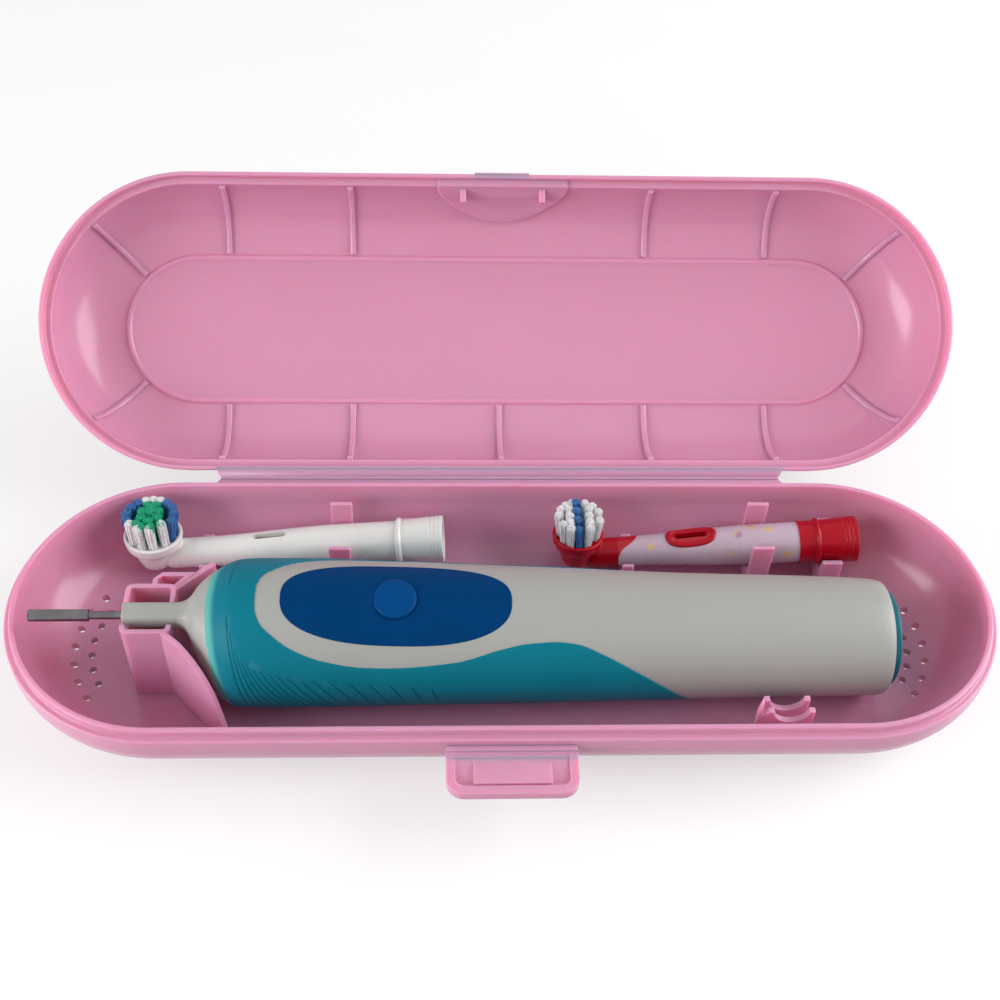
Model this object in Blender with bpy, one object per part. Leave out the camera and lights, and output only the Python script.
"""Electric toothbrush travel case, open, with a rechargeable handle and two brush heads.

All lengths are metres. The origin is the centre of the base's underside, +X runs along
the case, +Y points to the lid's hinge and +Z is up. Run it with
blender --background --python part.py, or from Blender's text editor.
"""
import math
from collections import namedtuple

import bmesh
import bpy
from mathutils import Matrix, Vector

# Case plan and rim
CASE_LENGTH = 0.2350
CASE_WIDTH = 0.0760
BASE_HEIGHT = 0.0200
LID_HEIGHT = 0.0199
BASE_BAND = 0.0040
LID_BAND = 0.0040
BASE_LEAN = 0.0150
LID_LEAN = 0.0180
BASE_POWER = 1.6
LID_POWER = 2.0
RIM_WIDTH = 0.0028
FLOOR_THICKNESS = 0.0021
ROOF_THICKNESS = 0.0015
SHOULDER_WIDTH = 0.0015
TONGUE_HEIGHT = 0.0022
RIM_CLEARANCE = 0.0004
FIT_GAP = 0.0003
EMBED = 0.0006
OVERRUN = 0.0040
ARC_STEPS = 14
WALL_STEPS = 6

# Lid details
BEAD_WIDTH = 0.0008
BEAD_HEIGHT = 0.0006
RIB_WIDTH = 0.0014
RIB_HEIGHT = 0.0009
RIB_FOOT = 0.0035
INNER_RIB_X = 0.0390
OUTER_RIB_INSET = 0.0077
END_RIB_ANGLE = math.radians(45)
SCOOP_X = 0.0003
SCOOP_WIDTH = 0.0342
SCOOP_HEIGHT = 0.0129
SCOOP_DEPTH = 0.0017
LUG_SPACING = 0.0204
LUG_WIDTH = 0.0015
LUG_DEPTH = 0.0038
LUG_HEIGHT = 0.0040
CATCH_WIDTH = 0.0140
CATCH_DEPTH = 0.0004
CATCH_HEIGHT = 0.0013
CATCH_RISE = 0.0005

# Living hinge of the lid
HINGE_OFFSET = 0.0019
HINGE_END_INSET = 0.0065
HINGE_NOTCH = 0.0015
FLANGE_THICKNESS = 0.0010
FOLD_GAP = 0.00015
LID_OPENING = math.radians(138.9)

# Latch flap
LATCH_WIDTH = 0.0292
LATCH_LENGTH = 0.0110
LATCH_OFFSET = 0.0014
LATCH_DROP = 0.0022
LATCH_THICKNESS = 0.0014
LATCH_CORNER = 0.0040
LATCH_RIM_WIDTH = 0.0018
LATCH_RIM_HEIGHT = 0.0006
LATCH_PAD_WIDTH = 0.0162
LATCH_PAD_START = 0.0042
LATCH_PAD_LENGTH = 0.0042
LATCH_PAD_HEIGHT = 0.0011
LATCH_HEEL = 0.0015
WEB_THICKNESS = 0.0005

# Drain holes
DRAIN_RADIUS = 0.00095
DRAIN_OFFSET = 0.0012
DRAIN_INSET = 0.0141
DRAIN_ROW_PITCH = 0.0040
DRAIN_PITCH = math.radians(12.7)
DRAIN_COUNT = 7

# Handle outside
HANDLE_ROLL = math.radians(8.5)
BODY_LENGTH = 0.1642
BODY_RADIUS = 0.0172
BODY_SEAT = 0.0156
NOSE_ROOM = 0.0425
NECK_HALF_WIDTH = 0.00245
NECK_HALF_HEIGHT = 0.00275
NECK_POWER = 4
NECK_LENGTH = 0.0132
NECK_RISE = 0.0080
NECK_SIDE = 0.0012
HOUSING_WALL = 0.0026
GRIP_DEPTH = 0.0012
PANEL_DEPTH = 0.0010
PANEL_PLACE = 0.0494
PANEL_LENGTH = 0.0520
PANEL_WIDTH = 0.0203
PANEL_POWER = 2.6
BUTTON_PLACE = 0.0490
BUTTON_RADIUS = 0.0049
BUTTON_STEM_RADIUS = 0.0037
BUTTON_PROUD = 0.0006
BUTTON_TRAVEL = 0.0008
CAP_THICKNESS = 0.0018
CAP_RADIUS = 0.0112
CAP_CHAMFER = 0.0006
CAP_PLUG = 0.0035
CAP_DRAIN_RADIUS = 0.0010
BODY_SIDES = 24

# Handle inside
SHAFT_RADIUS = 0.00140
SHAFT_WAIST = 0.00095
SHAFT_REACH = 0.0347
SHAFT_TIP_LENGTH = 0.0139
SHAFT_FLAT = 0.00085
SHAFT_CHAMFER = 0.0003
BUSH_LENGTH = 0.0060
SEAL_LENGTH = 0.0030
LIP_LENGTH = 0.0035
BUSH_WALL = 0.0005
ROCKER_THICKNESS = 0.0028
ROCKER_HUB_RADIUS = 0.0030
ROCKER_WIDTH = 0.0064
ROCKER_SLOT = 0.0030
ROCKER_SLOT_DEPTH = 0.0070
ROCKER_REACH = 0.0110
CRANK_RADIUS = 0.0040
CRANK_THICKNESS = 0.0020
CRANK_THROW = 0.0020
CRANK_PIN_RADIUS = 0.0008
CRANK_PIN_LENGTH = 0.0028
MOTOR_RADIUS = 0.0078
MOTOR_LENGTH = 0.0290
MOTOR_BOSS = 0.0012
MOTOR_BOSS_RADIUS = 0.0028
CELL_RADIUS = 0.0070
CELL_LENGTH = 0.0490
CELL_NUB = 0.0010
CELL_NUB_RADIUS = 0.0020
CONTACT_THICKNESS = 0.0005
CONTACT_RADIUS = 0.0060
FRAME_WALL = 0.0012
FRAME_EDGE = 0.0010
BULKHEAD = 0.0015
BULKHEAD_PLACE = 0.0270
BOARD_PLACE = 0.0290
BOARD_LENGTH = 0.0270
BOARD_WIDTH = 0.0180
BOARD_THICKNESS = 0.0012
SWITCH_SIZE = 0.0060
SWITCH_HEIGHT = 0.0013
CHIP_LENGTH = 0.0060
CHIP_WIDTH = 0.0040
CHIP_HEIGHT = 0.0012
COIL_RADIUS = 0.0078
COIL_BORE = 0.0040
COIL_LENGTH = 0.0045
SEAL_WIDTH = 0.0014

# Cradle for the handle's neck
CRADLE_REACH = 0.0135
CRADLE_LENGTH = 0.0116
CRADLE_FRONT = 0.0056
CRADLE_REAR = 0.0085
CRADLE_HEIGHT = 0.0268
CRADLE_WALL = 0.0011
CRADLE_CORNER = 0.0020
POCKET_START = 0.0052
POCKET_DEPTH = 0.0056
POCKET_HEIGHT = 0.0240
WING_THICKNESS = 0.0012
WING_LENGTH = 0.0215
WING_ANGLE = math.radians(47)
WING_HEIGHT = 0.0270

# Sizes of each brush head
WHITE_END_ROOM = 0.0301
WHITE_HEAD_LENGTH = 0.0727
WHITE_CUP_RADIUS = 0.0073
WHITE_RING_LENGTH = 0.0118
WHITE_BEAD_PLACE = 0.0007
WHITE_WINDOW_START = 0.0252
WHITE_CLIP_PLACE = 0.0468
RED_END_ROOM = 0.0275
RED_HEAD_LENGTH = 0.0710
RED_CUP_RADIUS = 0.0065
RED_RING_LENGTH = 0.0148
RED_BEAD_PLACE = 0.0048
RED_WINDOW_START = 0.0249
RED_CLIP_PLACE = 0.0458

# What both brush heads share, with their seats
HEAD_ROOM = 0.0136
HEAD_AXIS_Z = 0.0082
HEAD_TILT = math.radians(4.9)
HEAD_LEAN = math.radians(8)
CUP_BELOW = 0.0030
CUP_ABOVE = 0.0072
CUP_RIM = 0.0010
CUP_POCKET = 0.0024
NECK_END = 0.0125
SLEEVE_NECK_RADIUS = 0.0038
SLEEVE_RADIUS = 0.0051
SLEEVE_BORE = 0.0022
SOCKET_BORE = 0.0041
SOCKET_LENGTH = 0.0140
END_RING_RADIUS = 0.0059
END_RING_FLARE = 0.0006
END_BEAD_LENGTH = 0.0013
WINDOW_LENGTH = 0.0084
WINDOW_WIDTH = 0.0018
LINK_RADIUS = 0.0011
LINK_LENGTH = 0.0400
LINK_START = 0.0090
DISC_PIN_RADIUS = 0.0020
DISC_PIN_LENGTH = 0.0016
BACKING_THICKNESS = 0.0008
BRISTLE_LENGTH = 0.0078
BRISTLE_RADIUS = 0.00021
BRISTLE_SIDES = 3
TUFT_RADIUS = 0.00042
STRANDS_PER_TUFT = 5
TUFT_MARGIN = 0.0010
TUFT_RING_COUNTS = (1, 6, 10, 14)
SEAT_WALL = 0.0011
CLIP_LENGTH = 0.0054
CLIP_FRONT_HEIGHT = 0.0184
CLIP_REAR_HEIGHT = 0.0207
NECK_SEAT_PLACE = 0.0128
NECK_SEAT_LENGTH = 0.0030
NECK_SEAT_HEIGHT = 0.0098
COLLAR_SEAT_PLACE = 0.0640
COLLAR_SEAT_LENGTH = 0.0050
COLLAR_SEAT_HEIGHT = 0.0134

# Spare seat in front of the handle
SADDLE_ROOM = 0.0540
SADDLE_CLEARANCE = 0.0005
SADDLE_SIDE_SHARE = 0.314
SADDLE_NOTCH_RADIUS = 0.0040
SADDLE_WALL = 0.0014
SADDLE_GAP = 0.0030
SADDLE_HEIGHT = 0.0205
SADDLE_HORN = 0.0040
SADDLE_PRONG = 0.0013
SADDLE_STEP = 0.0020
SADDLE_FOOT_HEIGHT = 0.0100

# Places on the case, worked out from the sizes above
ARC_REACH = (CASE_LENGTH - CASE_WIDTH) / 2
OUTER_RIB_X = ARC_REACH - OUTER_RIB_INSET
HINGE_LENGTH = 2 * (ARC_REACH - HINGE_END_INSET)
HINGE_Y = CASE_WIDTH / 2 + HINGE_OFFSET
LATCH_Y = -(CASE_WIDTH / 2 + LATCH_OFFSET)
LATCH_Z = BASE_HEIGHT - LATCH_DROP
DRAIN_CENTRE = ARC_REACH + DRAIN_OFFSET
DRAIN_OUTER_ARC = CASE_WIDTH / 2 - DRAIN_INSET
DRAIN_INNER_ARC = DRAIN_OUTER_ARC - DRAIN_ROW_PITCH

# Places across the tray: the heads lie a fixed room from the rear wall, and the saddle
# has its share of the width that is left over between the front wall and the heads' seats
HEAD_Y = CASE_WIDTH / 2 - HEAD_ROOM
SEAT_REACH = SLEEVE_RADIUS + 2 * FIT_GAP + SEAT_WALL
SADDLE_DEPTH = 2 * SADDLE_WALL + SADDLE_GAP
FRONT_WALL_Y = RIM_WIDTH - CASE_WIDTH / 2
FREE_WIDTH = HEAD_Y - SEAT_REACH - FRONT_WALL_Y - SADDLE_DEPTH - SADDLE_CLEARANCE - 2 * BODY_RADIUS
SADDLE_Y = FRONT_WALL_Y + SADDLE_SIDE_SHARE * FREE_WIDTH + SADDLE_WALL
HANDLE_Y = SADDLE_Y + SADDLE_GAP + SADDLE_WALL + SADDLE_CLEARANCE + BODY_RADIUS
HANDLE_Z = FLOOR_THICKNESS + FIT_GAP + BODY_SEAT

# Places along the tray, from the end that each piece lies near
NOSE_X = NOSE_ROOM - CASE_LENGTH / 2
TAIL_X = NOSE_X + BODY_LENGTH
WHITE_HEAD_X = WHITE_END_ROOM - CASE_LENGTH / 2
RED_HEAD_X = CASE_LENGTH / 2 - RED_END_ROOM - RED_HEAD_LENGTH
SADDLE_X = CASE_LENGTH / 2 - SADDLE_ROOM
CRADLE_X = NOSE_X - CRADLE_REACH
POCKET_X = CRADLE_X + POCKET_START

# Places on the handle, from its nose backward
PANEL_X = NOSE_X + PANEL_PLACE
BUTTON_X = NOSE_X + BUTTON_PLACE
BULKHEAD_X = NOSE_X + BULKHEAD_PLACE
BOARD_X = NOSE_X + BOARD_PLACE
SHAFT_TIP_X = NOSE_X - SHAFT_REACH
SHAFT_STEP_X = SHAFT_TIP_X + SHAFT_TIP_LENGTH
SHAFT_BORE = SHAFT_WAIST + FIT_GAP
NECK_BORE = SHAFT_BORE + BUSH_WALL + FIT_GAP
NECK_TIP_X = NOSE_X - NECK_LENGTH
FRAME_BORE = MOTOR_RADIUS + FIT_GAP
FRAME_RADIUS = FRAME_BORE + FRAME_WALL
BOARD_RISE = NECK_RISE + SHAFT_BORE + FIT_GAP
BOARD_TOP = BOARD_RISE + BOARD_THICKNESS

# Places along the handle, from its tail forward
PLUG_X = TAIL_X + FIT_GAP - CAP_PLUG
SEAL_X = PLUG_X - FIT_GAP - SEAL_WIDTH
COIL_X = SEAL_X - FIT_GAP - COIL_LENGTH
FRAME_END_X = COIL_X - FIT_GAP
REAR_CONTACT_X = FRAME_END_X - BULKHEAD - FIT_GAP - CONTACT_THICKNESS
CELL_X = REAR_CONTACT_X - FIT_GAP - CELL_LENGTH - CELL_NUB
FRONT_CONTACT_X = CELL_X - FIT_GAP - CONTACT_THICKNESS
MOTOR_X = FRONT_CONTACT_X - FIT_GAP - MOTOR_LENGTH
CRANK_X = MOTOR_X - MOTOR_BOSS - FIT_GAP - CRANK_THICKNESS
ROCKER_X = CRANK_X - CRANK_PIN_LENGTH - FIT_GAP - ROCKER_THICKNESS

# The body's turned outline: place along it, radius, and how far its centre lies above
# the straight underside's own centre line, as shares of BODY_LENGTH and BODY_RADIUS
BODY_PROFILE_SHARES = (
    (0.0060, 0.279, 1.045),
    (0.0119, 0.349, 0.919),
    (0.0239, 0.552, 0.605),
    (0.0358, 0.738, 0.297),
    (0.0537, 0.890, 0.087),
    (0.0776, 0.988, 0.0),
    (0.1070, 1.000, 0.0),
    (0.1490, 1.000, 0.0),
    (0.3040, 0.971, 0.0),
    (0.5190, 0.919, 0.0),
    (0.7160, 0.866, 0.0),
    (0.9250, 0.831, 0.0),
    (0.9850, 0.808, 0.0),
    (1.0000, 0.785, 0.0),
)

# The grip's upper edge seen from the side: place along the body and height above its
# axis, as shares of BODY_LENGTH and BODY_RADIUS
GRIP_EDGE_SHARES = (
    (0.1030, 1.220),
    (0.1092, 1.070),
    (0.1337, 0.950),
    (0.1643, 0.830),
    (0.2051, 0.715),
    (0.2571, 0.628),
    (0.3050, 0.605),
    (0.3775, 0.634),
    (0.4468, 0.744),
    (0.4825, 0.773),
    (0.5101, 0.773),
    (0.5448, 0.744),
    (0.5876, 0.616),
    (0.6621, 0.203),
    (0.7090, -0.273),
    (0.7610, -1.220),
)
GRIP_FRONT_SHARES = ((0.083, -1.220), (0.030, 1.220))
NOSE_LEAN_SHARE = 0.072


def clear_scene():
    """Remove every object that the file opened with."""
    for thing in list(bpy.data.objects):
        bpy.data.objects.remove(thing, do_unlink=True)


def finish_of(name, colour, roughness, metallic=0.0):
    """A Principled material with one colour, roughness and metallic value."""
    material = bpy.data.materials.new(name + "_finish")
    material.use_nodes = True
    shader = material.node_tree.nodes["Principled BSDF"]
    shader.inputs["Base Color"].default_value = (*colour, 1.0)
    shader.inputs["Roughness"].default_value = roughness
    shader.inputs["Metallic"].default_value = metallic
    return material


PINK = ((0.80, 0.30, 0.45), 0.35, 0.0)
WHITE = ((0.76, 0.76, 0.72), 0.35, 0.0)
TEAL = ((0.01, 0.22, 0.29), 0.55, 0.0)
BLUE = ((0.0, 0.05, 0.24), 0.45, 0.0)
RED = ((0.43, 0.01, 0.03), 0.35, 0.0)
LILAC = ((0.55, 0.38, 0.48), 0.40, 0.0)
STEEL = ((0.30, 0.30, 0.31), 0.30, 1.0)
COPPER = ((0.70, 0.30, 0.12), 0.35, 1.0)
GREEN = ((0.02, 0.25, 0.08), 0.50, 0.0)
GREY = ((0.20, 0.20, 0.21), 0.55, 0.0)
DARK = ((0.03, 0.03, 0.03), 0.60, 0.0)


def piece(name, mesh, finish, parent=None, place=(0, 0, 0)):
    """Put a mesh into the scene as one named sub-part."""
    thing = bpy.data.objects.new(name, mesh)
    bpy.context.scene.collection.objects.link(thing)
    thing.location = place
    thing.parent = parent
    if finish is not None:
        thing.data.materials.append(finish_of(name, *finish))
    return thing


def cutter(name, mesh, parent=None, place=(0, 0, 0)):
    """A tool shape that isn't part of the model."""
    thing = piece(name, mesh, None, parent, place)
    thing.hide_render = True
    thing.display_type = "WIRE"
    return thing


def shape_with(target, tool, operation):
    """Add one exact Boolean to target."""
    modifier = target.modifiers.new(tool.name, "BOOLEAN")
    modifier.operation = operation
    modifier.object = tool
    modifier.solver = "EXACT"
    return modifier


def pivot(name, place, rotation=(0, 0, 0), parent=None):
    """An empty that stands on a joint's axis or carries a group."""
    empty = bpy.data.objects.new(name, None)
    bpy.context.scene.collection.objects.link(empty)
    empty.location = place
    empty.rotation_euler = rotation
    empty.parent = parent
    return empty


def mesh_of(name, work):
    """Turn a finished bmesh into a mesh with its faces pointing out."""
    bmesh.ops.recalc_face_normals(work, faces=work.faces)
    mesh = bpy.data.meshes.new(name)
    work.to_mesh(mesh)
    work.free()
    return mesh


def loft(name, rings, closed=False):
    """Skin a list of rings, capped at both ends or closed on itself."""
    work = bmesh.new()
    loops = [[work.verts.new(point) for point in ring] for ring in rings]
    pairs = list(zip(loops, loops[1:]))
    if closed:
        pairs.append((loops[-1], loops[0]))
    for low, high in pairs:
        for i, corner in enumerate(low):
            after = (i + 1) % len(low)
            work.faces.new((corner, low[after], high[after], high[i]))
    if not closed:
        work.faces.new(loops[0])
        work.faces.new(loops[-1])
    mesh = mesh_of(name, work)
    mesh.shade_smooth()
    mesh.set_sharp_from_angle(angle=math.radians(40))
    return mesh


def circle(radius, sides):
    """Points of a circle round the origin as pairs."""
    turn = 2 * math.pi / sides
    return [(radius * math.cos(i * turn), radius * math.sin(i * turn)) for i in range(sides)]


def turned_x(name, profile, sides, centre=(0, 0), closed=False):
    """Turn (x, radius) pairs about an axis along X through centre (y, z)."""
    rings = []
    for along, radius in profile:
        rings.append([(along, centre[0] + a, centre[1] + b) for a, b in circle(radius, sides)])
    return loft(name, rings, closed)


def turned_z(name, profile, sides, centre=(0, 0), closed=False):
    """Turn (z, radius) pairs about an axis along Z through centre (x, y)."""
    rings = []
    for height, radius in profile:
        rings.append([(centre[0] + a, centre[1] + b, height) for a, b in circle(radius, sides)])
    return loft(name, rings, closed)


def prism(name, outline, low, high, plane="XY"):
    """Extrude an outline of pairs between two levels across a plane."""
    def place(a, b, level):
        if plane == "XY":
            return (a, b, level)
        if plane == "XZ":
            return (a, level, b)
        return (level, a, b)
    return loft(name, [[place(a, b, level) for a, b in outline] for level in (low, high)])


def block(name, low, high):
    """A box between two corners."""
    outline = [(low[0], low[1]), (high[0], low[1]), (high[0], high[1]), (low[0], high[1])]
    return prism(name, outline, low[2], high[2])


def rounded_box(x_low, x_high, y_low, y_high, corner, steps=3):
    """An upright rectangle with round corners, as pairs."""
    points = []
    for x, y, start in ((x_high - corner, y_high - corner, 0), (x_low + corner, y_high - corner, 1),
                        (x_low + corner, y_low + corner, 2), (x_high - corner, y_low + corner, 3)):
        for i in range(steps + 1):
            angle = (start + i / steps) * math.pi / 2
            points.append((x + corner * math.cos(angle), y + corner * math.sin(angle)))
    return points


def curve_through(points, steps):
    """A smooth run through points, with steps between each two (Catmull-Rom)."""
    padded = [points[0]] + list(points) + [points[-1]]
    run = []
    for before, start, end, after in zip(padded, padded[1:], padded[2:], padded[3:]):
        for i in range(steps):
            t = i / steps
            weights = (-t ** 3 + 2 * t ** 2 - t, 3 * t ** 3 - 5 * t ** 2 + 2,
                       -3 * t ** 3 + 4 * t ** 2 + t, t ** 3 - t ** 2)
            four = (before, start, end, after)
            run.append(tuple(sum(w * p[k] for w, p in zip(weights, four)) / 2 for k in (0, 1)))
    run.append(tuple(points[-1]))
    return run


# The case's own curves
def stadium(inset, height):
    """The case's plan outline, drawn in by inset, at one height."""
    radius = CASE_WIDTH / 2 - inset
    ring = []
    for side in (1, -1):
        for i in range(ARC_STEPS + 1):
            angle = (i / ARC_STEPS - 0.5) * math.pi
            ring.append((side * (ARC_REACH + radius * math.cos(angle)),
                         side * radius * math.sin(angle), height))
    return ring


def wall_curve(foot, top, power):
    """A rounded quarter turn from the flat panel at foot to the upright band at top.

    Both are (inset, height) pairs. A power of 2 gives an ellipse and 1 a straight line.
    """
    points = []
    for i in range(WALL_STEPS + 1):
        angle = i / WALL_STEPS * math.pi / 2
        across_share = max(0.0, math.sin(angle)) ** (2 / power)
        along_share = max(0.0, math.cos(angle)) ** (2 / power)
        points.append((foot[0] - (foot[0] - top[0]) * across_share,
                       top[1] + (foot[1] - top[1]) * along_share))
    return points


def base_inside(extra=0.0):
    """The tray's inner surface from floor to rim, drawn in by extra."""
    foot = (BASE_LEAN, FLOOR_THICKNESS + extra)
    top = (RIM_WIDTH + extra, BASE_HEIGHT - BASE_BAND)
    return wall_curve(foot, top, BASE_POWER)


def lid_outside(extra=0.0):
    """The lid's outer surface from roof to band, drawn in by extra."""
    foot = (LID_LEAN, BASE_HEIGHT + LID_HEIGHT - extra)
    top = (extra, BASE_HEIGHT + LID_BAND)
    return wall_curve(foot, top, LID_POWER)


def lid_inside(extra=0.0):
    """The lid's inner surface from roof to rebate, drawn in by extra."""
    foot = (LID_LEAN, BASE_HEIGHT + LID_HEIGHT - ROOF_THICKNESS - extra)
    top = (RIM_WIDTH + extra, BASE_HEIGHT + TONGUE_HEIGHT + RIM_CLEARANCE)
    return wall_curve(foot, top, LID_POWER)


def stadium_solid(name, profile, closed=False):
    """Sweep a profile of (inset, height) pairs round the case's plan."""
    return loft(name, [stadium(inset, height) for inset, height in profile], closed)


def base_shell():
    """The tray: curved wall, flat floor, shoulder, tongue, hinge flange and drain holes."""
    outside = wall_curve((BASE_LEAN, 0), (0, BASE_HEIGHT - BASE_BAND), BASE_POWER)
    tongue_top = BASE_HEIGHT + TONGUE_HEIGHT
    rim = [(0, BASE_HEIGHT), (SHOULDER_WIDTH, BASE_HEIGHT),
           (SHOULDER_WIDTH, tongue_top), (RIM_WIDTH, tongue_top)]
    inside = list(reversed(base_inside()))
    shell = piece("base_shell", stadium_solid("base_shell", outside + rim + inside), PINK)

    flange_top = BASE_HEIGHT - FOLD_GAP
    flange = hinge_flange("base_flange", flange_top - FLANGE_THICKNESS, flange_top, None)
    shape_with(shell, flange, "UNION")

    web_half = WEB_THICKNESS / 2
    web = block("latch_web", (-LATCH_WIDTH / 2, LATCH_Y + FIT_GAP, LATCH_Z - web_half),
                (LATCH_WIDTH / 2, -CASE_WIDTH / 2 + EMBED, LATCH_Z + web_half))
    shape_with(shell, cutter("latch_web", web), "UNION")
    shape_with(shell, drain_drills(), "DIFFERENCE")
    return shell


def hinge_flange(name, low, high, parent):
    """One half of the living hinge's strip, from the band to the fold, notched at its ends."""
    fold = HINGE_Y - FOLD_GAP
    root = CASE_WIDTH / 2 - EMBED
    half = HINGE_LENGTH / 2
    outline = [(-half, root), (half, root), (half - HINGE_NOTCH, fold), (HINGE_NOTCH - half, fold)]
    return cutter(name, prism(name, outline, low, high), parent)


def drain_drills():
    """Two rows of round drills on an arc at each end of the floor."""
    work = bmesh.new()
    rows = ((DRAIN_OUTER_ARC, DRAIN_COUNT), (DRAIN_INNER_ARC, DRAIN_COUNT - 1))
    for side in (1, -1):
        for arc, count in rows:
            for i in range(count):
                angle = (i - (count - 1) / 2) * DRAIN_PITCH
                x = side * (DRAIN_CENTRE + arc * math.cos(angle))
                place = Matrix.Translation((x, arc * math.sin(angle), FLOOR_THICKNESS / 2))
                bmesh.ops.create_cone(work, cap_ends=True, segments=8, radius1=DRAIN_RADIUS,
                                      radius2=DRAIN_RADIUS, depth=FLOOR_THICKNESS + OVERRUN,
                                      matrix=place)
    return cutter("drain_drills", mesh_of("drain_drills", work))


def room_tool():
    """The tray's inside, a fit gap smaller all round, which trims what stands in it."""
    walls = base_inside(FIT_GAP)
    inner = RIM_WIDTH + FIT_GAP
    top = BASE_HEIGHT + LID_HEIGHT
    return cutter("tray_room", stadium_solid("tray_room", walls + [(inner, top)]))


def lid_shell(hinge):
    """The lid with its rebate, bead, ribs, thumb scoop, catch and hinge flange.

    It is drawn shut, and the hinge pivot turns it open.
    """
    shut = -Vector(hinge.location)
    rim_low = BASE_HEIGHT + FIT_GAP
    ledge = SHOULDER_WIDTH - RIM_CLEARANCE
    rebate = BASE_HEIGHT + TONGUE_HEIGHT + RIM_CLEARANCE
    ceiling = BASE_HEIGHT + LID_HEIGHT - ROOF_THICKNESS
    bead_low = ceiling - BEAD_HEIGHT
    rim = [(0, rim_low), (ledge, rim_low), (ledge, rebate)]
    inside = list(reversed(lid_inside()))
    bead = [(LID_LEAN + EMBED, bead_low), (LID_LEAN + EMBED + BEAD_WIDTH, bead_low),
            (LID_LEAN + EMBED + BEAD_WIDTH, ceiling)]
    profile = lid_outside() + rim + inside + bead
    shell = piece("lid_shell", stadium_solid("lid_shell", profile), PINK, hinge, shut)

    pad_profile = lid_inside(-EMBED) + list(reversed(lid_inside(SCOOP_DEPTH)))
    pad = cutter("scoop_pad", stadium_solid("scoop_pad", pad_profile, True), hinge, shut)
    shape_with(pad, scoop_drum("scoop_pad_drum", 0, hinge, shut), "INTERSECT")
    shape_with(shell, pad, "UNION")
    hollow_profile = lid_outside(-OVERRUN) + list(reversed(lid_outside(SCOOP_DEPTH)))
    hollow = cutter("scoop_hollow", stadium_solid("scoop_hollow", hollow_profile, True), hinge, shut)
    drum = scoop_drum("scoop_hollow_drum", ROOF_THICKNESS, hinge, shut)
    shape_with(hollow, drum, "INTERSECT")
    shape_with(shell, hollow, "DIFFERENCE")

    shape_with(shell, lid_ribs(hinge, shut), "UNION")
    shape_with(shell, lid_lugs(hinge, shut), "UNION")
    flange_low = BASE_HEIGHT + FOLD_GAP
    flange = hinge_flange("lid_flange", flange_low, flange_low + FLANGE_THICKNESS, hinge)
    flange.location = shut
    shape_with(shell, flange, "UNION")
    catch_low = BASE_HEIGHT + CATCH_RISE
    catch = block("lid_catch", (-CATCH_WIDTH / 2, -CASE_WIDTH / 2 - CATCH_DEPTH, catch_low),
                  (CATCH_WIDTH / 2, -CASE_WIDTH / 2 + EMBED, catch_low + CATCH_HEIGHT))
    shape_with(shell, cutter("lid_catch", catch, hinge, shut), "UNION")
    return shell


def scoop_drum(name, inset, hinge, shut):
    """Half an ellipse along Y that bounds the thumb scoop, drawn in by inset."""
    low = BASE_HEIGHT + TONGUE_HEIGHT + RIM_CLEARANCE
    outline = [(SCOOP_X + (SCOOP_WIDTH / 2 - inset) * math.cos(i * math.pi / ARC_STEPS),
                low + (SCOOP_HEIGHT - inset) * math.sin(i * math.pi / ARC_STEPS))
               for i in range(ARC_STEPS + 1)]
    return cutter(name, prism(name, outline, -CASE_WIDTH, LID_LEAN - CASE_WIDTH / 2, "XZ"),
                  hinge, shut)


def lid_ribs(hinge, shut):
    """Thin blades that climb the lid's inner wall, and none where the scoop is."""
    work = bmesh.new()
    for x in (-OUTER_RIB_X, -INNER_RIB_X, 0, INNER_RIB_X, OUTER_RIB_X):
        add_rib(work, (x, 0), math.pi / 2)
        if x != 0:
            add_rib(work, (x, 0), -math.pi / 2)
    for side in (1, -1):
        for angle in (END_RIB_ANGLE, -END_RIB_ANGLE):
            turn = angle if side == 1 else math.pi + angle
            add_rib(work, (side * ARC_REACH, 0), turn)
    return cutter("lid_ribs", mesh_of("lid_ribs", work), hinge, shut)


def lid_lugs(hinge, shut):
    """Two gussets on the scoop's inner side, just above the rebate."""
    work = bmesh.new()
    low = BASE_HEIGHT + TONGUE_HEIGHT + RIM_CLEARANCE + EMBED
    wall = RIM_WIDTH - CASE_WIDTH / 2
    outline = [(wall - EMBED, low), (wall + LUG_DEPTH, low),
               (wall + LUG_DEPTH, low + LUG_HEIGHT / 2), (wall + SCOOP_DEPTH, low + LUG_HEIGHT),
               (wall - EMBED, low + LUG_HEIGHT)]
    for side in (-1, 1):
        middle = SCOOP_X + side * LUG_SPACING / 2
        left, right = [[work.verts.new((middle + half, y, z)) for y, z in outline]
                       for half in (-LUG_WIDTH / 2, LUG_WIDTH / 2)]
        for i, corner in enumerate(left):
            after = (i + 1) % len(left)
            work.faces.new((corner, left[after], right[after], right[i]))
        work.faces.new(left)
        work.faces.new(right)
    return cutter("lid_lugs", mesh_of("lid_lugs", work), hinge, shut)


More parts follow.
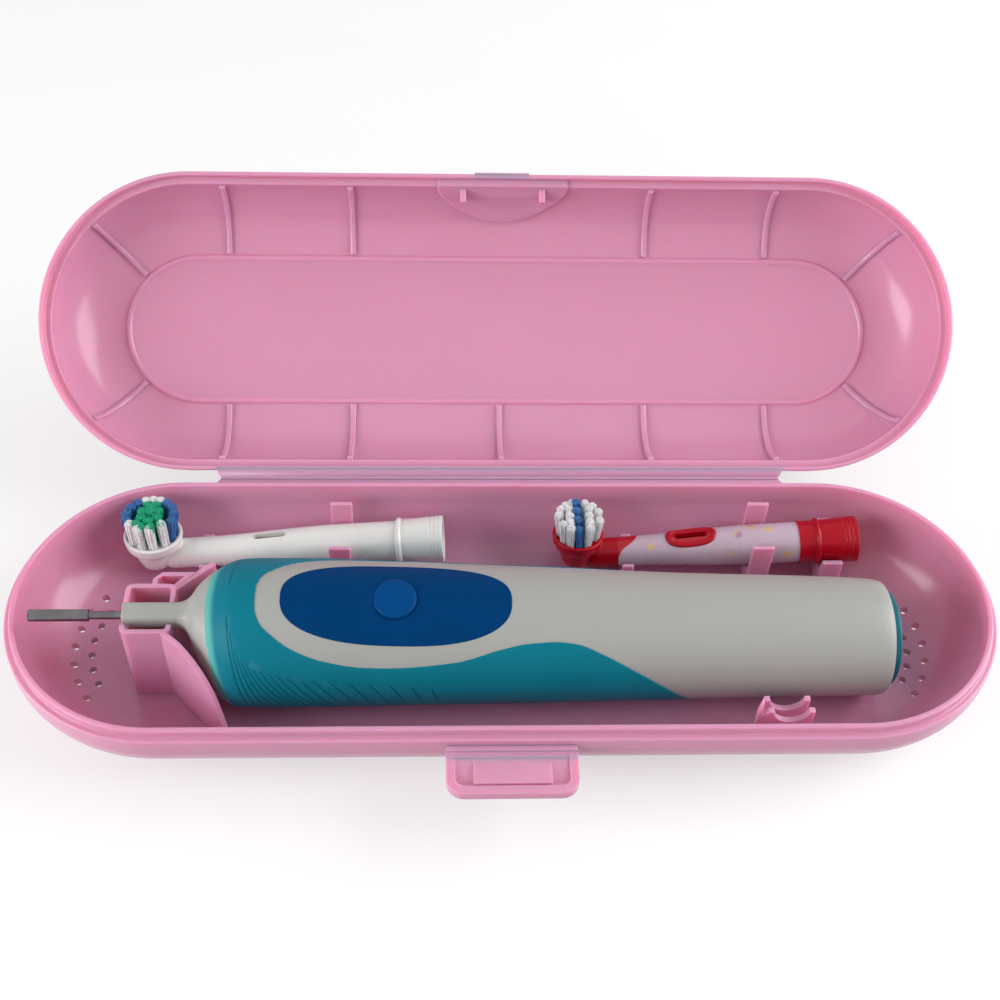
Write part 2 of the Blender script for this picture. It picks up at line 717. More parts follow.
def add_rib(work, foot, direction):
    """One blade at foot that reaches out along direction to the wall."""
    buried = lid_inside(-EMBED)
    proud = lid_inside(RIB_HEIGHT)
    outline = [point for point in proud if point[1] > BASE_HEIGHT + RIB_FOOT]
    outline += [point for point in reversed(buried) if point[1] > BASE_HEIGHT + RIB_FOOT]
    along = Vector((math.cos(direction), math.sin(direction), 0))
    across = Vector((-along.y, along.x, 0)) * (RIB_WIDTH / 2)
    faces = []
    for side in (-1, 1):
        ring = []
        for inset, height in outline:
            point = Vector((*foot, height)) + along * (CASE_WIDTH / 2 - inset) + across * side
            ring.append(work.verts.new(point))
        faces.append(ring)
    left, right = faces
    for i, corner in enumerate(left):
        after = (i + 1) % len(left)
        work.faces.new((corner, left[after], right[after], right[i]))
    work.faces.new(left)
    work.faces.new(right)


def latch_flap(hinge):
    """The flap: thin web, plate, raised U rim and the pad that hooks over the catch."""
    half = LATCH_WIDTH / 2
    far = -LATCH_LENGTH
    outline = latch_outline(0)
    flap = piece("latch_flap", prism("latch_flap", outline, -LATCH_THICKNESS, 0), PINK, hinge)
    rim_outer = prism("latch_rim", outline, -EMBED, LATCH_RIM_HEIGHT)
    rim = cutter("latch_rim", rim_outer, hinge)
    inner = latch_outline(LATCH_RIM_WIDTH)
    inner_low = -LATCH_THICKNESS - OVERRUN
    inner_tool = cutter("latch_rim_inside", prism("latch_rim_inside", inner, inner_low, OVERRUN), hinge)
    shape_with(rim, inner_tool, "DIFFERENCE")
    shape_with(flap, rim, "UNION")
    pad_far = -LATCH_PAD_START - LATCH_PAD_LENGTH
    pad = block("latch_pad", (-LATCH_PAD_WIDTH / 2, pad_far, -EMBED),
                (LATCH_PAD_WIDTH / 2, -LATCH_PAD_START, LATCH_PAD_HEIGHT))
    shape_with(flap, cutter("latch_pad", pad, hinge), "UNION")
    web_half = WEB_THICKNESS / 2
    web = block("latch_fold", (-half, -LATCH_HEEL - EMBED, -web_half), (half, -FIT_GAP, 0))
    shape_with(flap, cutter("latch_fold", web, hinge), "UNION")
    return flap


def latch_outline(inset):
    """The flap's plan: square at the fold, round at its free corners."""
    half = LATCH_WIDTH / 2 - inset
    far = inset - LATCH_LENGTH
    corner = LATCH_CORNER - inset
    heel = -LATCH_HEEL if inset == 0 else OVERRUN
    points = [(half, heel), (-half, heel)]
    for side in (-1, 1):
        for i in range(5):
            angle = i / 4 * math.pi / 2
            if side == 1:
                angle = math.pi / 2 - angle
            points.append((side * (half - corner + corner * math.cos(angle)),
                           far + corner - corner * math.sin(angle)))
    return points


# The handle
def body_stations(shrink=0.0):
    """The body's rings as (x, radius, centre height above the handle's axis)."""
    stations = []
    for along, radius, lift in BODY_PROFILE_SHARES:
        size = radius * BODY_RADIUS
        stations.append((NOSE_X + along * BODY_LENGTH, size - shrink,
                         size - BODY_SEAT + lift * BODY_RADIUS))
    return stations


def body_ring(x, radius, height, side=0.0):
    """One ring of the body, its seam underneath."""
    ring = []
    for i in range(BODY_SIDES):
        angle = 2 * math.pi * i / BODY_SIDES
        ring.append((x, side - radius * math.sin(angle), height - radius * math.cos(angle)))
    return ring


def neck_ring(x):
    """One ring of the neck, a rounded block round the shaft's axis."""
    power = 2 / NECK_POWER
    ring = []
    for i in range(BODY_SIDES):
        angle = 2 * math.pi * i / BODY_SIDES
        across = math.copysign(abs(math.sin(angle)) ** power, math.sin(angle))
        upward = math.copysign(abs(math.cos(angle)) ** power, math.cos(angle))
        ring.append((x, NECK_SIDE - NECK_HALF_WIDTH * across, NECK_RISE - NECK_HALF_HEIGHT * upward))
    return ring


def nose_side(x):
    """How far the body's centre leans sideways to its neck at x."""
    reach = NOSE_X + NOSE_LEAN_SHARE * BODY_LENGTH
    lean_share = min(1.0, max(0.0, (reach - x) / (reach - NOSE_X)))
    return NECK_SIDE * lean_share


def body_solid(name, shrink, long_nose):
    """The body's outline, shrunk by a depth, from its neck's tip or its nose to its tail."""
    rings = [body_ring(x, radius, height, nose_side(x))
             for x, radius, height in body_stations(shrink)]
    if long_nose:
        rings = [neck_ring(NECK_TIP_X), neck_ring(NOSE_X)] + rings
    return loft(name, rings)


def cavity_solid(name):
    """The handle's inside: lip bore, neck bore, chamber and open tail."""
    lip_end = NECK_TIP_X + LIP_LENGTH
    bore = [(NECK_TIP_X - OVERRUN, SHAFT_BORE), (lip_end, SHAFT_BORE),
            (lip_end, NECK_BORE), (NOSE_X + HOUSING_WALL, NECK_BORE)]
    rings = [body_ring(x, radius, NECK_RISE, NECK_SIDE) for x, radius in bore]
    wide = [station for station in body_stations(HOUSING_WALL) if station[1] > 2 * NECK_BORE]
    for x, radius, height in wide:
        rings.append(body_ring(x + HOUSING_WALL / 2, radius, height, nose_side(x)))
    x, radius, height = wide[-1]
    rings[-1] = body_ring(x + OVERRUN, radius, height)
    return loft(name, rings)


def grip_outline(spread):
    """The grip's side outline in X and Z, widened by spread along its edges."""
    edge = curve_through([(NOSE_X + a * BODY_LENGTH, b * BODY_RADIUS) for a, b in GRIP_EDGE_SHARES], 2)
    front = [(NOSE_X + a * BODY_LENGTH, b * BODY_RADIUS) for a, b in GRIP_FRONT_SHARES]
    outline = edge + front
    if spread == 0:
        return outline
    moved = []
    for i, point in enumerate(outline):
        before = Vector(outline[i - 1])
        after = Vector(outline[(i + 1) % len(outline)])
        run = (after - before).normalized()
        moved.append((point[0] - run.y * spread, point[1] + run.x * spread))
    return moved


def panel_outline(spread):
    """The blue panel's plan: a full oval, widened by spread."""
    half_length = PANEL_LENGTH / 2 + spread
    half_width = PANEL_WIDTH / 2 + spread
    power = 2 / PANEL_POWER
    points = []
    for i in range(32):
        angle = 2 * math.pi * i / 32
        along = math.copysign(abs(math.cos(angle)) ** power, math.cos(angle))
        across = math.copysign(abs(math.sin(angle)) ** power, math.sin(angle))
        points.append((PANEL_X + half_length * along, half_width * across))
    return points


def skin(name, depth, proud):
    """The layer of the body's surface down to a depth, as a mesh with its core cut out."""
    return body_solid(name, -proud, True), body_solid(name + "_core", depth, True)


def handle_skin_cutter(name, depth, tool, frame):
    """What is cut from the housing to let a skin in."""
    outer, core = skin(name, depth, OVERRUN)
    whole = cutter(name, outer, frame)
    shape_with(whole, cutter(name + "_core", core, frame), "DIFFERENCE")
    shape_with(whole, tool, "INTERSECT")
    return whole


def handle_housing(frame):
    """The white housing: a hollow turned body with recesses for grip, panel and button."""
    housing = piece("handle_housing", body_solid("handle_housing", 0, True), WHITE, frame)
    grip_tool = cutter("grip_bed", prism("grip_bed", grip_outline(FIT_GAP), -CASE_WIDTH / 2,
                                         CASE_WIDTH / 2, "XZ"), frame)
    panel_tool = cutter("panel_bed", prism("panel_bed", panel_outline(FIT_GAP), 0,
                                           CASE_WIDTH / 2), frame)
    shape_with(housing, handle_skin_cutter("grip_recess", GRIP_DEPTH, grip_tool, frame), "DIFFERENCE")
    shape_with(housing, handle_skin_cutter("panel_recess", PANEL_DEPTH, panel_tool, frame), "DIFFERENCE")
    shape_with(housing, cutter("handle_cavity", cavity_solid("handle_cavity"), frame), "DIFFERENCE")
    shape_with(housing, button_well("housing_button_well", frame), "DIFFERENCE")
    return housing


def button_well(name, frame):
    """The round hole that the button runs in."""
    profile = [(0, BUTTON_RADIUS + FIT_GAP), (BODY_RADIUS + OVERRUN, BUTTON_RADIUS + FIT_GAP)]
    return cutter(name, turned_z(name, profile, 24, (BUTTON_X, 0)), frame)


def grip_skin(frame):
    """The teal grip moulded over the nose, the sides and the underside."""
    grip = piece("grip_sleeve", body_solid("grip_sleeve", 0, True), TEAL, frame)
    core = body_solid("grip_core", GRIP_DEPTH - FIT_GAP, True)
    shape_with(grip, cutter("grip_core", core, frame), "DIFFERENCE")
    tool = prism("grip_edge", grip_outline(0), -CASE_WIDTH / 2, CASE_WIDTH / 2, "XZ")
    shape_with(grip, cutter("grip_edge", tool, frame), "INTERSECT")
    return grip


def panel_skin(frame):
    """The blue panel let into the top of the housing round the button."""
    panel = piece("switch_panel", body_solid("switch_panel", 0, False), BLUE, frame)
    core = body_solid("panel_core", PANEL_DEPTH - FIT_GAP, False)
    shape_with(panel, cutter("panel_core", core, frame), "DIFFERENCE")
    tool = prism("panel_edge", panel_outline(0), 0, CASE_WIDTH / 2)
    shape_with(panel, cutter("panel_edge", tool, frame), "INTERSECT")
    shape_with(panel, button_well("panel_button_well", frame), "DIFFERENCE")
    return panel


def body_at(x):
    """Radius and centre height of the body at x, read between its stations."""
    stations = body_stations()
    for low, high in zip(stations, stations[1:]):
        if low[0] <= x <= high[0]:
            t = (x - low[0]) / (high[0] - low[0])
            return tuple(a + (b - a) * t for a, b in zip(low[1:], high[1:]))
    return stations[-1][1:]


def chamber_at(x):
    """Radius and centre height of the chamber inside the housing at x."""
    radius, height = body_at(x - HOUSING_WALL / 2)
    return radius - HOUSING_WALL, height


def power_button(frame):
    """The domed button and its stem, which stops a travel short of the switch."""
    radius, height = body_at(BUTTON_X)
    crown = radius + height + BUTTON_PROUD
    foot = BOARD_TOP + FIT_GAP + SWITCH_HEIGHT + BUTTON_TRAVEL + FIT_GAP
    profile = [(foot - crown, BUTTON_STEM_RADIUS), (-HOUSING_WALL, BUTTON_STEM_RADIUS),
               (-HOUSING_WALL, BUTTON_RADIUS), (-BUTTON_PROUD, BUTTON_RADIUS),
               (-BUTTON_PROUD / 3, BUTTON_RADIUS - BUTTON_PROUD), (0, BUTTON_RADIUS / 2)]
    mesh = turned_z("power_button", profile, 20)
    return piece("power_button", mesh, BLUE, frame, (BUTTON_X, 0, crown))


def disc_x(name, start, thickness, radius, sides=16, centre=(0, 0)):
    """A plain round of one thickness across the handle."""
    return turned_x(name, [(start, radius), (start + thickness, radius)], sides, centre)


def sleeve_x(name, start, length, inner, outer, sides=16, centre=(0, 0)):
    """A plain ring or tube along the handle."""
    profile = [(start, inner), (start, outer), (start + length, outer), (start + length, inner)]
    return turned_x(name, profile, sides, centre, True)


def inner_frame(frame):
    """The trough that carries motor and cell, with a bulkhead at each end and board rails."""
    inner = piece("inner_frame", half_channel("inner_frame", BULKHEAD_X, FRAME_END_X), GREY, frame)
    for name, x in (("front_bulkhead", BULKHEAD_X), ("rear_bulkhead", FRAME_END_X - BULKHEAD)):
        near_radius, height = chamber_at(x)
        far_radius = chamber_at(x + BULKHEAD)[0]
        disc = disc_x(name, x, BULKHEAD, min(near_radius, far_radius) - FIT_GAP, 20, (0, height))
        shape_with(inner, cutter(name, disc, frame), "UNION")
    for name, side in (("left_rail", -1), ("right_rail", 1)):
        low, high = sorted((side * FRAME_BORE, side * FRAME_RADIUS))
        rail = block(name, (BULKHEAD_X + EMBED, low, 0),
                     (BOARD_X + BOARD_LENGTH, high, BOARD_RISE - FIT_GAP))
        shape_with(inner, cutter(name, rail, frame), "UNION")
    passage = disc_x("shaft_passage", BULKHEAD_X - OVERRUN, 2 * OVERRUN, ROCKER_HUB_RADIUS,
                     16, (NECK_SIDE, NECK_RISE))
    shape_with(inner, cutter("shaft_passage", passage, frame), "DIFFERENCE")


def half_channel(name, low, high):
    """The lower half of a tube with level top edges."""
    outline = [(FRAME_RADIUS, FRAME_EDGE)]
    for i in range(9):
        angle = -math.pi * i / 8
        outline.append((FRAME_RADIUS * math.cos(angle), FRAME_RADIUS * math.sin(angle)))
    outline += [(-FRAME_RADIUS, FRAME_EDGE), (-FRAME_BORE, FRAME_EDGE)]
    for i in range(9):
        angle = math.pi * (i / 8 - 1)
        outline.append((FRAME_BORE * math.cos(angle), FRAME_BORE * math.sin(angle)))
    outline.append((FRAME_BORE, FRAME_EDGE))
    return prism(name, outline, low, high, "YZ")


def electronics(frame):
    """The circuit board on its rails, with the switch under the button and one chip."""
    board = block("circuit_board", (BOARD_X, -BOARD_WIDTH / 2, BOARD_RISE),
                  (BOARD_X + BOARD_LENGTH, BOARD_WIDTH / 2, BOARD_TOP))
    piece("circuit_board", board, GREEN, frame)
    seat = BOARD_TOP + FIT_GAP
    half = SWITCH_SIZE / 2
    switch = block("push_switch", (BUTTON_X - half, -half, seat),
                   (BUTTON_X + half, half, seat + SWITCH_HEIGHT))
    piece("push_switch", switch, DARK, frame)
    chip_x = BOARD_X + CHIP_WIDTH / 2
    chip = block("control_chip", (chip_x, -CHIP_WIDTH / 2, seat),
                 (chip_x + CHIP_LENGTH, CHIP_WIDTH / 2, seat + CHIP_HEIGHT))
    piece("control_chip", chip, DARK, frame)


def power_parts(frame):
    """Motor, cell with its two contacts, and the charging coil on its core."""
    motor_end = MOTOR_X + MOTOR_LENGTH
    motor = [(MOTOR_X - MOTOR_BOSS, MOTOR_BOSS_RADIUS), (MOTOR_X, MOTOR_BOSS_RADIUS),
             (MOTOR_X, MOTOR_RADIUS), (motor_end, MOTOR_RADIUS)]
    piece("drive_motor", turned_x("drive_motor", motor, 20), STEEL, frame)
    for name, x in (("front_contact", FRONT_CONTACT_X), ("rear_contact", REAR_CONTACT_X)):
        piece(name, disc_x(name, x, CONTACT_THICKNESS, CONTACT_RADIUS), COPPER, frame)
    can = CELL_X + CELL_NUB
    cell = [(CELL_X, CELL_NUB_RADIUS), (can, CELL_NUB_RADIUS), (can, CELL_RADIUS),
            (can + CELL_LENGTH, CELL_RADIUS)]
    piece("battery_cell", turned_x("battery_cell", cell, 20), GREEN, frame)
    centre = (0, chamber_at(COIL_X + COIL_LENGTH)[1])
    coil = sleeve_x("charging_coil", COIL_X, COIL_LENGTH, COIL_BORE, COIL_RADIUS, 20, centre)
    piece("charging_coil", coil, COPPER, frame)
    core = disc_x("coil_core", COIL_X, COIL_LENGTH, COIL_BORE - FIT_GAP, 16, centre)
    piece("coil_core", core, DARK, frame)


def drive_shaft(frame, place):
    """The drive shaft: stepped tip with a flat, straight through the neck to the rocker."""
    shaft_end = ROCKER_X + ROCKER_THICKNESS
    profile = [(SHAFT_TIP_X, SHAFT_RADIUS - SHAFT_CHAMFER), (SHAFT_TIP_X + SHAFT_CHAMFER, SHAFT_RADIUS),
               (SHAFT_STEP_X, SHAFT_RADIUS), (SHAFT_STEP_X, SHAFT_WAIST), (shaft_end, SHAFT_WAIST)]
    shaft = piece("drive_shaft", turned_x("drive_shaft", profile, 16), STEEL, frame, place)
    side = 2 * SHAFT_RADIUS
    flat = block("shaft_flat", (SHAFT_TIP_X - OVERRUN, -side, SHAFT_FLAT),
                 (SHAFT_STEP_X - SHAFT_CHAMFER, side, side))
    shape_with(shaft, cutter("shaft_flat", flat, frame, place), "DIFFERENCE")


def rocker_arm(frame, place):
    """The forked arm on the shaft's inner end, whose slot faces the crank pin."""
    far = ROCKER_X + ROCKER_THICKNESS
    hub = disc_x("rocker_arm", ROCKER_X, ROCKER_THICKNESS, ROCKER_HUB_RADIUS)
    rocker = piece("rocker_arm", hub, GREY, frame, place)
    half = ROCKER_WIDTH / 2
    blade = block("rocker_blade", (ROCKER_X, -half, -ROCKER_REACH), (far, half, -SHAFT_RADIUS))
    shape_with(rocker, cutter("rocker_blade", blade, frame, place), "UNION")
    half = ROCKER_SLOT / 2
    slot = block("rocker_slot", (ROCKER_X - OVERRUN, -half, -ROCKER_REACH - OVERRUN),
                 (far + OVERRUN, half, ROCKER_SLOT_DEPTH - ROCKER_REACH))
    shape_with(rocker, cutter("rocker_slot", slot, frame, place), "DIFFERENCE")
    length = ROCKER_THICKNESS + 2 * OVERRUN
    bore = disc_x("rocker_bore", ROCKER_X - OVERRUN, length, SHAFT_BORE)
    shape_with(rocker, cutter("rocker_bore", bore, frame, place), "DIFFERENCE")


def motor_crank(frame):
    """The motor's crank disc and its pin, which stops short of the rocker's slot."""
    crank = piece("motor_crank", disc_x("motor_crank", CRANK_X, CRANK_THICKNESS, CRANK_RADIUS),
                  STEEL, frame)
    pin = disc_x("crank_pin", CRANK_X - CRANK_PIN_LENGTH, CRANK_PIN_LENGTH + EMBED,
                 CRANK_PIN_RADIUS, 10, (0, CRANK_THROW))
    shape_with(crank, cutter("crank_pin", pin, frame), "UNION")


def neck_fittings(frame):
    """The lip seal and the bush that the shaft runs in, one behind the other in the neck."""
    outer = NECK_BORE - FIT_GAP
    centre = (NECK_SIDE, NECK_RISE)
    seal_x = NECK_TIP_X + LIP_LENGTH + FIT_GAP
    bush_x = seal_x + SEAL_LENGTH + FIT_GAP
    for name, x, length, finish in (("shaft_seal", seal_x, SEAL_LENGTH, DARK),
                                    ("shaft_bush", bush_x, BUSH_LENGTH, GREY)):
        piece(name, sleeve_x(name, x, length, SHAFT_BORE, outer, 16, centre), finish, frame)


def tail_cap(frame):
    """The teal cap that closes the tail, with its plug and its seal ring."""
    radius, height = body_stations()[-1][1:]
    plug = radius - HOUSING_WALL - FIT_GAP
    hollow = plug - SEAL_WIDTH
    face = TAIL_X + FIT_GAP
    back = face + CAP_THICKNESS
    profile = [(PLUG_X, hollow), (PLUG_X, plug), (face, plug), (face, CAP_RADIUS),
               (back - CAP_CHAMFER, CAP_RADIUS), (back, CAP_RADIUS - CAP_CHAMFER),
               (back, CAP_DRAIN_RADIUS), (face, CAP_DRAIN_RADIUS), (face, hollow)]
    piece("base_cap", turned_x("base_cap", profile, BODY_SIDES, (0, height), True), TEAL, frame)
    seal = sleeve_x("cap_seal", SEAL_X, SEAL_WIDTH, hollow, plug, BODY_SIDES, (0, height))
    piece("cap_seal", seal, DARK, frame)


# What stands in the tray
def neck_place():
    """The neck's centre in the case's Y and Z."""
    turn = Matrix.Rotation(HANDLE_ROLL, 3, "X")
    offset = turn @ Vector((0, NECK_SIDE, NECK_RISE))
    return HANDLE_Y + offset.y, HANDLE_Z + offset.z


def neck_cradle(room):
    """The open box that takes the neck in a notch, its rear pocket and its two wings."""
    neck_y, neck_z = neck_place()
    front = neck_y - CRADLE_FRONT
    rear = neck_y + CRADLE_REAR
    right = CRADLE_X + CRADLE_LENGTH
    outline = rounded_box(CRADLE_X, right, front, rear, CRADLE_CORNER)
    cradle = piece("neck_cradle", prism("neck_cradle", outline, 0, CRADLE_HEIGHT), PINK)
    pocket_rear = rear + POCKET_DEPTH
    root_x = right - CRADLE_CORNER
    far_x = root_x + POCKET_DEPTH / math.tan(WING_ANGLE)
    pocket = [(POCKET_X, rear - CRADLE_CORNER), (root_x, rear - CRADLE_CORNER), (root_x, rear),
              (far_x, pocket_rear), (POCKET_X + CRADLE_CORNER, pocket_rear),
              (POCKET_X, pocket_rear - CRADLE_CORNER)]
    shape_with(cradle, cutter("rear_pocket", prism("rear_pocket", pocket, 0, POCKET_HEIGHT)), "UNION")
    for name, y, side, shares in (("front_wing", front, -1, FRONT_WING_SHARES),
                                  ("rear_wing", rear, 1, REAR_WING_SHARES)):
        shape_with(cradle, wing(name, (root_x, y - side * EMBED), side, shares), "UNION")
    wall = CRADLE_WALL
    corner = CRADLE_CORNER - wall
    well = rounded_box(CRADLE_X + wall, right - wall, front + wall, rear - wall, corner)
    shape_with(cradle, cutter("cradle_well", prism("cradle_well", well, -OVERRUN, CASE_WIDTH)), "DIFFERENCE")
    dip = [(POCKET_X + wall, rear), (root_x - wall, rear), (far_x - 2 * wall, pocket_rear - wall),
           (POCKET_X + CRADLE_CORNER, pocket_rear - wall),
           (POCKET_X + wall, pocket_rear - CRADLE_CORNER)]
    shape_with(cradle, cutter("pocket_well", prism("pocket_well", dip, -OVERRUN, CASE_WIDTH)), "DIFFERENCE")
    reach = FIT_GAP + NECK_HALF_WIDTH + NECK_HALF_HEIGHT * math.sin(HANDLE_ROLL)
    drop = FIT_GAP + NECK_HALF_HEIGHT + NECK_HALF_WIDTH * math.sin(HANDLE_ROLL)
    notch = [(neck_y - reach, CASE_WIDTH), (neck_y - reach, neck_z - drop),
             (neck_y + reach, neck_z - drop), (neck_y + reach, CASE_WIDTH)]
    slot = prism("neck_notch", notch, CRADLE_X - OVERRUN, right + EMBED, "YZ")
    shape_with(cradle, cutter("neck_notch", slot), "DIFFERENCE")
    shape_with(cradle, room, "INTERSECT")


# Each wing's top edge: place along the wing and height, as shares of WING_LENGTH and
# WING_HEIGHT
FRONT_WING_SHARES = ((0.0, 0.98), (0.30, 1.05), (0.55, 1.0), (0.74, 0.88), (0.88, 0.66), (0.97, 0.37),
                     (1.0, 0.0))
REAR_WING_SHARES = ((0.0, 0.90), (0.30, 0.88), (0.62, 0.85), (0.64, 0.0))


def wing(name, root, side, shares):
    """An upright web that leaves the cradle's corner at a slant, under the handle's nose."""
    along = Vector((math.cos(WING_ANGLE), side * math.sin(WING_ANGLE), 0))
    across = Vector((-along.y, along.x, 0)) * (WING_THICKNESS / 2)
    origin = Vector((*root, 0))
    outline = [(0, 0)] + [(a * WING_LENGTH, b * WING_HEIGHT) for a, b in shares]
    rings = []
    for face in (-1, 1):
        rings.append([origin + along * a + across * face + Vector((0, 0, b)) for a, b in outline])
    return cutter(name, loft(name, rings))


def seat_outline(y, z, radius, front_top, rear_top):
    """A U in Y and Z: two upright legs and a round bed of the given radius."""
    outer = radius + SEAT_WALL
    bed = [(y - radius * math.cos(i * math.pi / 8), z - radius * math.sin(i * math.pi / 8))
           for i in range(9)]
    return ([(y - outer, 0), (y + outer, 0), (y + outer, rear_top), (y + radius, rear_top)]
            + list(reversed(bed)) + [(y - radius, front_top), (y - outer, front_top)])


def head_seats(head, room):
    """The neck seat, the clip and the collar seat under one brush head."""
    slope = math.tan(HEAD_TILT)
    rows = (("neck_seat", NECK_SEAT_PLACE, NECK_SEAT_LENGTH, NECK_SEAT_HEIGHT, NECK_SEAT_HEIGHT),
            ("clip", head.clip_place, CLIP_LENGTH, CLIP_FRONT_HEIGHT, CLIP_REAR_HEIGHT),
            ("collar_seat", COLLAR_SEAT_PLACE, COLLAR_SEAT_LENGTH, COLLAR_SEAT_HEIGHT,
             COLLAR_SEAT_HEIGHT))
    for label, place, length, front_top, rear_top in rows:
        name = head.prefix + "_" + label
        radius = head_radius(head, place + length / 2) + 2 * FIT_GAP
        z = HEAD_AXIS_Z + (place - length / 2) * slope
        outline = seat_outline(HEAD_Y, z, radius, front_top, rear_top)
        x = head.x + place
        seat = piece(name, prism(name, outline, x - length / 2, x + length / 2, "YZ"), PINK)
        shape_with(seat, room, "INTERSECT")


def head_radius(head, place):
    """A head's outer radius at a place along its sleeve."""
    if place > head.length - head.ring_length:
        return END_RING_RADIUS
    taper_share = min(1.0, max(0.0, (place - NECK_END) / (head.clip_place - NECK_END)))
    return SLEEVE_NECK_RADIUS + (SLEEVE_RADIUS - SLEEVE_NECK_RADIUS) * taper_share


def front_saddle(room):
    """Two upright plates joined at their foot, with a round notch between prongs."""
    reach = SADDLE_NOTCH_RADIUS + SADDLE_PRONG
    left = SADDLE_X - reach
    right = SADDLE_X + reach
    arc = [(SADDLE_X + SADDLE_NOTCH_RADIUS * math.cos(i * math.pi / 8),
            SADDLE_HEIGHT - SADDLE_NOTCH_RADIUS * math.sin(i * math.pi / 8)) for i in range(9)]
    horn = left - SADDLE_HORN
    front = ([(horn, 0), (right, 0), (right, SADDLE_HEIGHT)] + arc
             + [(left, SADDLE_HEIGHT), (left - SADDLE_PRONG, SADDLE_HEIGHT - SADDLE_PRONG),
                (horn + SADDLE_PRONG / 2, SADDLE_HEIGHT + SADDLE_HORN), (horn, SADDLE_HEIGHT)])
    rear = ([(left, 0), (right, 0), (right, SADDLE_HEIGHT - SADDLE_STEP)]
            + [(x, z - SADDLE_STEP) for x, z in arc] + [(left, SADDLE_HEIGHT - SADDLE_STEP)])
    low = SADDLE_Y - SADDLE_WALL
    far = SADDLE_Y + SADDLE_GAP
    saddle = piece("front_saddle", prism("front_saddle", front, low, SADDLE_Y, "XZ"), PINK)
    back = cutter("saddle_back", prism("saddle_back", rear, far, far + SADDLE_WALL, "XZ"))
    shape_with(saddle, back, "UNION")
    foot = block("saddle_foot", (left, SADDLE_Y - EMBED, 0),
                 (right, far + EMBED, SADDLE_FOOT_HEIGHT))
    shape_with(saddle, cutter("saddle_foot", foot), "UNION")
    shape_with(saddle, room, "INTERSECT")


# The cup's turned outline, a rounded foot under a wider band: height above its foot and
# radius, as shares of its full height and of its rim's radius
CUP_PROFILE_SHARES = ((0.0, 0.36), (0.08, 0.50), (0.28, 0.62), (0.60, 0.72), (0.71, 0.93), (0.86, 0.98),
                      (1.0, 1.0))

Head = namedtuple("Head", "prefix x length cup_radius ring_length bead_place window_start clip_place "
                          "cup_finish sleeve_finish")


def brush_head(head):
    """One head: cup with neck, sleeve, end ring, link rod, turning disc and bristles."""
    place = (head.x, HEAD_Y, HEAD_AXIS_Z)
    upright = pivot(head.prefix + "_disc_axis", place, (-HEAD_LEAN, 0, 0))
    frame = pivot(head.prefix + "_sleeve_axis", place, (-HEAD_LEAN, -HEAD_TILT, 0))
    ring_start = head.length - head.ring_length
    under_ring = SOCKET_BORE + (END_RING_RADIUS - SOCKET_BORE) / 2 - FIT_GAP
    head_cup(head, upright, frame)
    head_sleeve(head, under_ring, frame)
    bead = ring_start + head.bead_place
    slim = END_RING_RADIUS - END_RING_FLARE
    ring = [(ring_start, under_ring + FIT_GAP), (ring_start, slim), (bead - END_BEAD_LENGTH / 2, slim),
            (bead, END_RING_RADIUS), (bead + END_BEAD_LENGTH / 2, slim),
            (head.length - END_BEAD_LENGTH, END_RING_RADIUS), (head.length, END_RING_RADIUS),
            (head.length, under_ring + FIT_GAP)]
    name = head.prefix + "_end_ring"
    piece(name, turned_x(name, ring, 20, closed=True), head.cup_finish, frame)
    name = head.prefix + "_link_rod"
    piece(name, disc_x(name, LINK_START, LINK_LENGTH, LINK_RADIUS, 12), STEEL, frame)
    disc_radius = head.cup_radius - CUP_RIM - FIT_GAP
    disc_low = CUP_ABOVE - CUP_POCKET + FIT_GAP
    disc_high = CUP_ABOVE - BACKING_THICKNESS - FIT_GAP
    pin_foot = disc_low - DISC_PIN_LENGTH
    disc = [(pin_foot, DISC_PIN_RADIUS), (disc_low, DISC_PIN_RADIUS), (disc_low, disc_radius),
            (disc_high, disc_radius)]
    name = head.prefix + "_brush_disc"
    piece(name, turned_z(name, disc, 20), head.cup_finish, upright)
    bristles(head.prefix, disc_radius, disc_high + FIT_GAP, upright)


def head_cup(head, upright, frame):
    """The cup that the disc turns in, with the neck that carries it."""
    name = head.prefix + "_cup"
    height = CUP_BELOW + CUP_ABOVE
    profile = [(a * height - CUP_BELOW, b * head.cup_radius) for a, b in CUP_PROFILE_SHARES]
    cup = piece(name, turned_z(name, profile, 20), head.cup_finish, upright)
    neck = disc_x(head.prefix + "_neck", 0, NECK_END, SLEEVE_NECK_RADIUS, 16)
    shape_with(cup, cutter(head.prefix + "_neck", neck, frame), "UNION")
    pocket_low = CUP_ABOVE - CUP_POCKET
    pin_foot = pocket_low - DISC_PIN_LENGTH
    over = CUP_ABOVE + OVERRUN
    pocket_radius = head.cup_radius - CUP_RIM
    pocket = [(pin_foot, DISC_PIN_RADIUS + FIT_GAP), (pocket_low, DISC_PIN_RADIUS + FIT_GAP),
              (pocket_low, pocket_radius), (over, pocket_radius)]
    well = turned_z(head.prefix + "_cup_well", pocket, 20)
    shape_with(cup, cutter(head.prefix + "_cup_well", well, upright), "DIFFERENCE")
    length = NECK_END - LINK_START + FIT_GAP + OVERRUN
    bore = disc_x(head.prefix + "_neck_bore", LINK_START - FIT_GAP, length, SLEEVE_BORE, 12)
    shape_with(cup, cutter(head.prefix + "_neck_bore", bore, frame), "DIFFERENCE")


